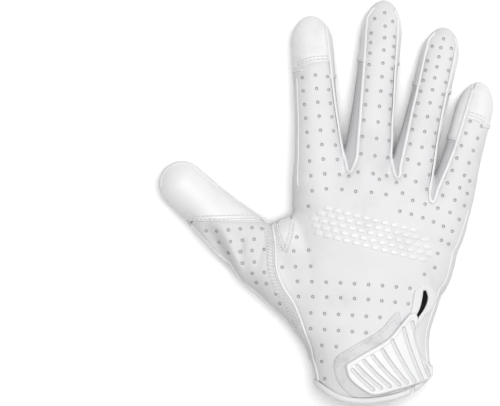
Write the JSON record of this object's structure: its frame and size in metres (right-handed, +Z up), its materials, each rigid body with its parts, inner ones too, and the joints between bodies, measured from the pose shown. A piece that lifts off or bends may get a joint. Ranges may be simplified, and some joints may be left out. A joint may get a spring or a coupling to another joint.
{
  "type": "football receiver glove",
  "caption": "Right-hand football receiver glove lying palm down, with perforated back, smooth tip caps, finger gussets, vent and moulded strap tab.",
  "frame": {"origin": "the palm's flat underside, in the plane that the glove rests on, in line with the middle of the hand", "axes": "+Z up from the palm to the back of the hand, +Y towards the fingertips, -X towards the thumb"},
  "size_m": [0.1872, 0.2244, 0.0413],
  "materials": {
    "perforated_leather": "soft perforated synthetic leather, light grey-white",
    "smooth_leather": "smooth white synthetic leather",
    "grip_leather": "slightly tacky white grip leather",
    "binding": "white woven edge binding",
    "loop_fabric": "soft looped fastener fabric",
    "tab_rubber": "satin moulded rubber with sunk channels"
  },
  "bodies": {
    "root": {"back_panel": "perforated_leather", "thumb_gusset": "perforated_leather", "palm_panel": "grip_leather", "thumb_cap": "smooth_leather", "index_cap": "smooth_leather", "little_cap": "smooth_leather", "web_insert": "smooth_leather", "gusset_index_middle": "smooth_leather", "gusset_middle_ring": "smooth_leather", "gusset_ring_little": "smooth_leather", "cuff_binding": "binding", "vent_binding": "binding", "fastener_patch": "loop_fabric", "strap_tab": "tab_rubber"}
  },
  "joints": []
}
